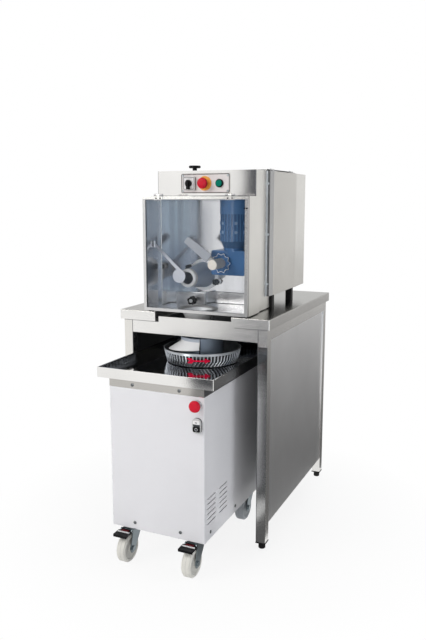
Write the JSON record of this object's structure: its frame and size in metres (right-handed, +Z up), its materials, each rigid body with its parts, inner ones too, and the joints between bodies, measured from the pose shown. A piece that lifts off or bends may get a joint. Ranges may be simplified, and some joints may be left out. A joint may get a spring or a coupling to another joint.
{
  "type": "pizza dough divider",
  "caption": "Dough divider with hopper, auger and turning knife behind a clear door, on a steel table with a castor-mounted bowl rounder rolled in under it.",
  "frame": {"origin": "on the floor, under the middle of the bounding box", "axes": "+Z up, +X to the operator's right as seen from the front, -Y towards the operator at the front"},
  "size_m": [0.6, 1.09, 1.4064],
  "materials": {
    "satin_steel": "satin stainless sheet",
    "polished_steel": "polished stainless",
    "bright_alloy": "bright fluted alloy",
    "dull_alloy": "dull anodised alloy",
    "clear_pane": "clear pane",
    "plate_paint": "pale painted plate",
    "white_paint": "white powder coat",
    "blue_paint": "blue machine paint",
    "zinc": "bright zinc plate",
    "white_nylon": "white nylon",
    "beige_nylon": "beige nylon",
    "black_plastic": "black moulded plastic",
    "black_rubber": "black rubber",
    "grey_plastic": "grey moulded plastic",
    "yellow_plastic": "yellow plastic",
    "red_plastic": "red plastic",
    "green_plastic": "green plastic",
    "white_plastic": "white plastic"
  },
  "bodies": {
    "table_and_divider": {"table_top": "satin_steel", "table_frame": "satin_steel", "table_panels": "satin_steel", "levelling_feet": "black_rubber", "guard_box": "satin_steel", "body_shell": "satin_steel", "side_cover": "satin_steel", "divider_feet": "black_rubber", "control_box": "satin_steel", "control_plate": "plate_paint", "switch_base": "grey_plastic", "estop_collar": "yellow_plastic", "start_bezel": "black_plastic", "hopper": "satin_steel", "auger_gearmotor": "blue_paint", "nozzle_cone": "satin_steel", "outlet_ring": "white_nylon", "knife_gearbox": "blue_paint", "knife_motor": "blue_paint", "drop_funnel": "satin_steel", "hatch_plate": "satin_steel", "hinge_leaves": "satin_steel", "housing_screws": "zinc"},
    "door": {"door_frame": "satin_steel", "door_panel": "clear_pane"},
    "main_switch": {"switch_handle": "black_plastic"},
    "emergency_stop": {"estop_head": "red_plastic"},
    "start": {"start_button": "green_plastic"},
    "lid": {"hopper_lid": "satin_steel", "lid_knob": "black_plastic"},
    "auger": {"feed_auger": "polished_steel"},
    "knife": {"knife_hub": "beige_nylon", "knife_blade": "polished_steel"},
    "paddle": {"sensor_paddle": "polished_steel"},
    "hatch_knob": {"star_knob": "black_plastic"},
    "left_clamp": {"nozzle_knob_left": "black_plastic"},
    "right_clamp": {"nozzle_knob_right": "black_plastic"},
    "cart": {"cabinet_shell": "white_paint", "cart_base": "white_paint", "tray": "satin_steel", "bowl_gearmotor": "blue_paint", "rounding_drum": "dull_alloy", "deflector": "white_nylon", "cart_estop_collar": "grey_plastic", "cart_button_housing": "black_plastic", "cart_screws": "zinc"},
    "bowl": {"bowl": "bright_alloy"},
    "cart_emergency_stop": {"cart_estop_head": "red_plastic"},
    "cart_start": {"cart_start_button": "white_plastic"},
    "cart_stop": {"cart_stop_button": "black_plastic"},
    "castor_front_left": {"castor_fork_front_left": "zinc"},
    "wheel_front_left": {"castor_wheel_front_left": "white_nylon"},
    "castor_front_right": {"castor_fork_front_right": "zinc"},
    "wheel_front_right": {"castor_wheel_front_right": "white_nylon"},
    "castor_rear_left": {"castor_fork_rear_left": "zinc"},
    "wheel_rear_left": {"castor_wheel_rear_left": "white_nylon"},
    "castor_rear_right": {"castor_fork_rear_right": "zinc"},
    "wheel_rear_right": {"castor_wheel_rear_right": "white_nylon"},
    "pedal_left": {"brake_pedal_left": "black_plastic"},
    "pedal_right": {"brake_pedal_right": "black_plastic"}
  },
  "joints": [
    {"name": "door_hinge", "type": "hinge", "parent": "table_and_divider", "child": "door", "pos_m": [0.0105, -0.244, 1.286], "axis": [-1, 0, 0], "range_deg": [0, 95]},
    {"name": "main_switch_turn", "type": "hinge", "parent": "table_and_divider", "child": "main_switch", "pos_m": [-0.0515, -0.1555, 1.328], "axis": [0, 1, 0], "range_deg": [0, 90]},
    {"name": "emergency_stop_press", "type": "slide", "parent": "table_and_divider", "child": "emergency_stop", "axis": [0, 1, 0], "range_m": [0, 0.006], "stiffness_N_per_m": 800},
    {"name": "start_press", "type": "slide", "parent": "table_and_divider", "child": "start", "axis": [0, 1, 0], "range_m": [0, 0.003], "stiffness_N_per_m": 500},
    {"name": "lid_hinge", "type": "hinge", "parent": "table_and_divider", "child": "lid", "pos_m": [0.209, 0.1275, 1.3784], "axis": [0, 1, 0], "range_deg": [0, 100]},
    {"name": "auger_turn", "type": "hinge", "parent": "table_and_divider", "child": "auger", "pos_m": [-0.063, 0.31, 0.979], "axis": [0, 1, 0], "continuous": true},
    {"name": "knife_turn", "type": "hinge", "parent": "table_and_divider", "child": "knife", "pos_m": [0.055, -0.095, 1.036], "axis": [0, 1, 0], "continuous": true},
    {"name": "paddle_swing", "type": "hinge", "parent": "table_and_divider", "child": "paddle", "pos_m": [-0.187, -0.1735, 1.105], "axis": [0, 0, -1], "range_deg": [0, 20], "stiffness_Nm_per_rad": 0.3},
    {"name": "hatch_knob_turn", "type": "hinge", "parent": "table_and_divider", "child": "hatch_knob", "pos_m": [-0.0723, -0.05, 0.886], "axis": [0, 1, 0], "range_deg": [0, 360]},
    {"name": "right_clamp_turn", "type": "hinge", "parent": "table_and_divider", "child": "right_clamp", "pos_m": [-0.00438, -0.009, 0.9529], "axis": [0, 1, 0], "range_deg": [0, 360]},
    {"name": "left_clamp_turn", "type": "hinge", "parent": "table_and_divider", "child": "left_clamp", "pos_m": [-0.12162, -0.009, 1.0051], "axis": [0, 1, 0], "range_deg": [0, 360]},
    {"name": "cart_roll_out", "type": "slide", "parent": "table_and_divider", "child": "cart", "axis": [0, -1, 0], "range_m": [0, 0.75]},
    {"name": "bowl_turn", "type": "hinge", "parent": "cart", "child": "bowl", "pos_m": [0.003, -0.157, 0.673], "axis": [0, 0, 1], "continuous": true},
    {"name": "cart_emergency_stop_press", "type": "slide", "parent": "cart", "child": "cart_emergency_stop", "axis": [0, 1, 0], "range_m": [0, 0.006], "stiffness_N_per_m": 800},
    {"name": "cart_start_press", "type": "slide", "parent": "cart", "child": "cart_start", "axis": [0, 1, 0], "range_m": [0, 0.003], "stiffness_N_per_m": 500},
    {"name": "cart_stop_press", "type": "slide", "parent": "cart", "child": "cart_stop", "axis": [0, 1, 0], "range_m": [0, 0.003], "stiffness_N_per_m": 500},
    {"name": "castor_front_left_swivel", "type": "hinge", "parent": "cart", "child": "castor_front_left", "pos_m": [-0.135, -0.457, 0.13], "axis": [0, 0, 1], "continuous": true},
    {"name": "wheel_front_left_spin", "type": "hinge", "parent": "castor_front_left", "child": "wheel_front_left", "pos_m": [-0.135, -0.495, 0.05], "axis": [1, 0, 0], "continuous": true},
    {"name": "pedal_left_press", "type": "hinge", "parent": "castor_front_left", "child": "pedal_left", "pos_m": [-0.135, -0.497, 0.1146], "axis": [1, 0, 0], "range_deg": [0, 10]},
    {"name": "castor_front_right_swivel", "type": "hinge", "parent": "cart", "child": "castor_front_right", "pos_m": [0.119, -0.457, 0.13], "axis": [0, 0, 1], "continuous": true},
    {"name": "wheel_front_right_spin", "type": "hinge", "parent": "castor_front_right", "child": "wheel_front_right", "pos_m": [0.119, -0.495, 0.05], "axis": [1, 0, 0], "continuous": true},
    {"name": "pedal_right_press", "type": "hinge", "parent": "castor_front_right", "child": "pedal_right", "pos_m": [0.119, -0.497, 0.1146], "axis": [1, 0, 0], "range_deg": [0, 10]},
    {"name": "castor_rear_left_swivel", "type": "hinge", "parent": "cart", "child": "castor_rear_left", "pos_m": [-0.135, 0.013, 0.13], "axis": [0, 0, 1], "continuous": true},
    {"name": "wheel_rear_left_spin", "type": "hinge", "parent": "castor_rear_left", "child": "wheel_rear_left", "pos_m": [-0.135, -0.025, 0.05], "axis": [1, 0, 0], "continuous": true},
    {"name": "castor_rear_right_swivel", "type": "hinge", "parent": "cart", "child": "castor_rear_right", "pos_m": [0.119, 0.013, 0.13], "axis": [0, 0, 1], "continuous": true},
    {"name": "wheel_rear_right_spin", "type": "hinge", "parent": "castor_rear_right", "child": "wheel_rear_right", "pos_m": [0.119, -0.025, 0.05], "axis": [1, 0, 0], "continuous": true}
  ]
}
